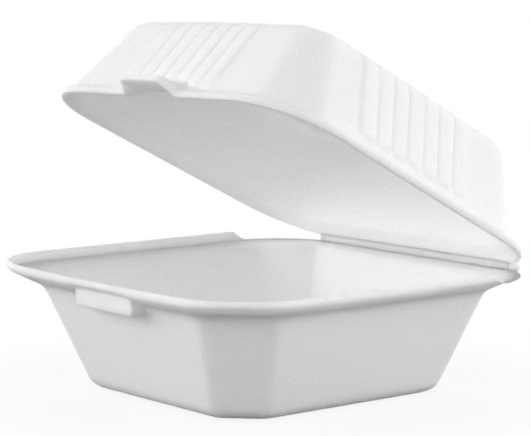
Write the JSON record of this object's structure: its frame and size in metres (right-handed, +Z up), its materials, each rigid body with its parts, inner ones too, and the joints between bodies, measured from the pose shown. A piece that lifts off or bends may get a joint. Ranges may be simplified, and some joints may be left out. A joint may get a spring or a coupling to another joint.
{
  "type": "foam clamshell container",
  "caption": "Square foam takeaway box: a flared tray with a raised lip and latch boss, and a fluted lid that nests in the lip and swings on a fold along the back edge.",
  "frame": {"origin": "middle of the tray's foot, on the surface that it stands on", "axes": "+Z up, -Y towards the latch, +Y towards the folded hinge, X along the hinge"},
  "size_m": [0.133, 0.136, 0.119],
  "materials": {
    "foam": "matt white closed-cell foam skin with a fine cell grain"
  },
  "bodies": {
    "tray": {"tray": "foam"},
    "lid": {"lid": "foam"}
  },
  "joints": [
    {"name": "lid_hinge", "type": "hinge", "parent": "tray", "child": "lid", "pos_m": [0, 0.06675, 0.0389], "axis": [-1, 0, 0], "range_deg": [-27, 153]}
  ]
}
